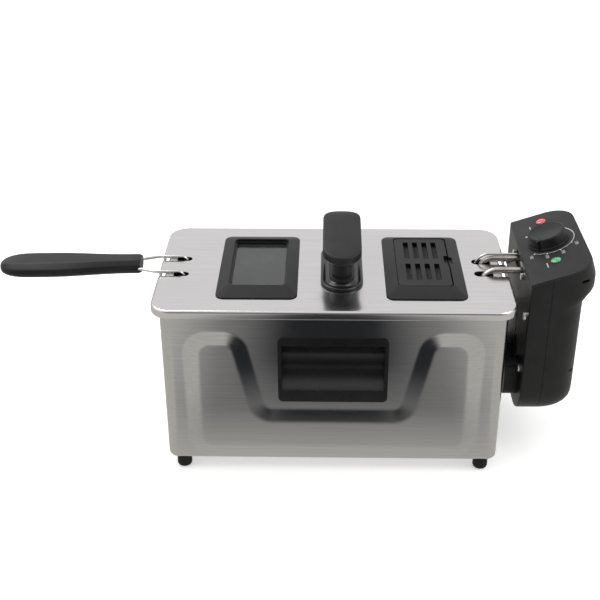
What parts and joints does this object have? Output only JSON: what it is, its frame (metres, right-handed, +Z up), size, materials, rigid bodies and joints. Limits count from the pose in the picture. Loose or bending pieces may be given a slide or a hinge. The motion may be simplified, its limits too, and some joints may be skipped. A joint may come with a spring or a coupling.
{
  "type": "deep fryer",
  "caption": "Steel deep fryer with lift-out oil pot, plug-in control head and heating coil, frying basket with detachable handle, and lid with window and filter vent.",
  "frame": {"origin": "middle of the whole object's box, on the surface that the feet stand on", "axes": "+X along the length from the basket handle to the control head, +Y to the rear long side, +Z up"},
  "size_m": [0.5846, 0.1836, 0.2336],
  "materials": {
    "brushed_steel": "brushed along the length",
    "polished_steel": "polished",
    "black_plastic": "fine satin",
    "grey_plastic": "fine matt grain",
    "black_rubber": "matt",
    "window_glass": "clear, lightly tinted",
    "filter_felt": "felted",
    "red_lens": "clear lens",
    "green_lens": "clear lens",
    "red_plastic": "satin",
    "white_ceramic": "unglazed"
  },
  "bodies": {
    "housing": {"housing_shell": "brushed_steel", "base_plate": "brushed_steel", "foot_front_left": "black_rubber", "foot_screw_front_left": "polished_steel", "foot_rear_left": "black_rubber", "foot_screw_rear_left": "polished_steel", "foot_front_right": "black_rubber", "foot_screw_front_right": "polished_steel", "foot_rear_right": "black_rubber", "foot_screw_rear_right": "polished_steel", "carry_handle_front": "black_plastic", "carry_handle_rear": "black_plastic", "rail_rivet_lower": "polished_steel", "rail_rivet_upper": "polished_steel", "guide_rail": "brushed_steel"},
    "oil_pot": {"oil_pot": "brushed_steel"},
    "control_head": {"heating_element": "polished_steel", "thermostat_sensor": "polished_steel", "element_support_left": "polished_steel", "element_support_right": "polished_steel", "head_inner_shell": "black_plastic", "head_outer_shell": "black_plastic", "control_panel": "grey_plastic", "red_power_lamp": "red_lens", "green_ready_lamp": "green_lens", "thermostat_body": "white_ceramic", "plate_screw_front": "polished_steel", "plate_screw_rear": "polished_steel", "element_plate": "brushed_steel", "safety_cutout": "black_plastic", "interlock_switch": "black_plastic", "terminal_block": "white_ceramic", "head_screw_1": "polished_steel", "head_screw_2": "polished_steel", "head_screw_3": "polished_steel", "head_screw_4": "polished_steel", "cord_gland": "black_rubber"},
    "knob": {"control_knob": "black_plastic", "thermostat_shaft": "polished_steel"},
    "reset_button": {"reset_button": "red_plastic"},
    "interlock_plunger": {"interlock_plunger": "red_plastic"},
    "basket": {"basket_mesh": "polished_steel", "basket_rim": "polished_steel", "handle_socket": "polished_steel", "drain_hook": "polished_steel"},
    "basket_handle": {"handle_wire": "polished_steel", "grip_upper": "black_plastic", "grip_lower": "black_plastic", "grip_screw": "polished_steel"},
    "lid": {"lid_panel": "brushed_steel", "window_frame": "black_plastic", "window_glass": "window_glass", "window_gasket": "black_rubber", "vent_frame": "black_plastic", "filter_tray": "black_plastic", "filter_pad": "filter_felt", "lid_handle_base": "black_plastic", "lid_handle": "grey_plastic", "lid_handle_screw": "polished_steel"},
    "vent_cover": {"vent_cover": "grey_plastic"}
  },
  "joints": [
    {"name": "pot_lift", "type": "slide", "parent": "housing", "child": "oil_pot", "axis": [0, 0, 1], "range_m": [0, 0.2]},
    {"name": "head_lift", "type": "slide", "parent": "oil_pot", "child": "control_head", "axis": [0, 0, 1], "range_m": [0, 0.17]},
    {"name": "knob_turn", "type": "hinge", "parent": "control_head", "child": "knob", "pos_m": [0.25525, 0.007, 0.21336], "axis": [0.3223, 0, -0.9466], "range_deg": [-258, 6]},
    {"name": "reset_press", "type": "slide", "parent": "control_head", "child": "reset_button", "axis": [1, 0, 0], "range_m": [0, 0.002], "stiffness_N_per_m": 600},
    {"name": "interlock_follow", "type": "slide", "parent": "control_head", "child": "interlock_plunger", "axis": [0, 0, -1], "range_m": [0, 0.003]},
    {"name": "basket_lift", "type": "slide", "parent": "control_head", "child": "basket", "axis": [0, 0, 1], "range_m": [0, 0.14]},
    {"name": "handle_detach", "type": "slide", "parent": "basket", "child": "basket_handle", "axis": [0, 0, 1], "range_m": [0, 0.07]},
    {"name": "lid_lift", "type": "slide", "parent": "basket", "child": "lid", "axis": [0, 0, 1], "range_m": [0, 0.12]},
    {"name": "vent_open", "type": "hinge", "parent": "lid", "child": "vent_cover", "pos_m": [0.10715, 0.007, 0.1875], "axis": [0, -1, 0], "range_deg": [0, 50]}
  ],
  "couplings": [
    {"joint": "interlock_follow", "follows": "head_lift", "ratio": 0.017647}
  ]
}
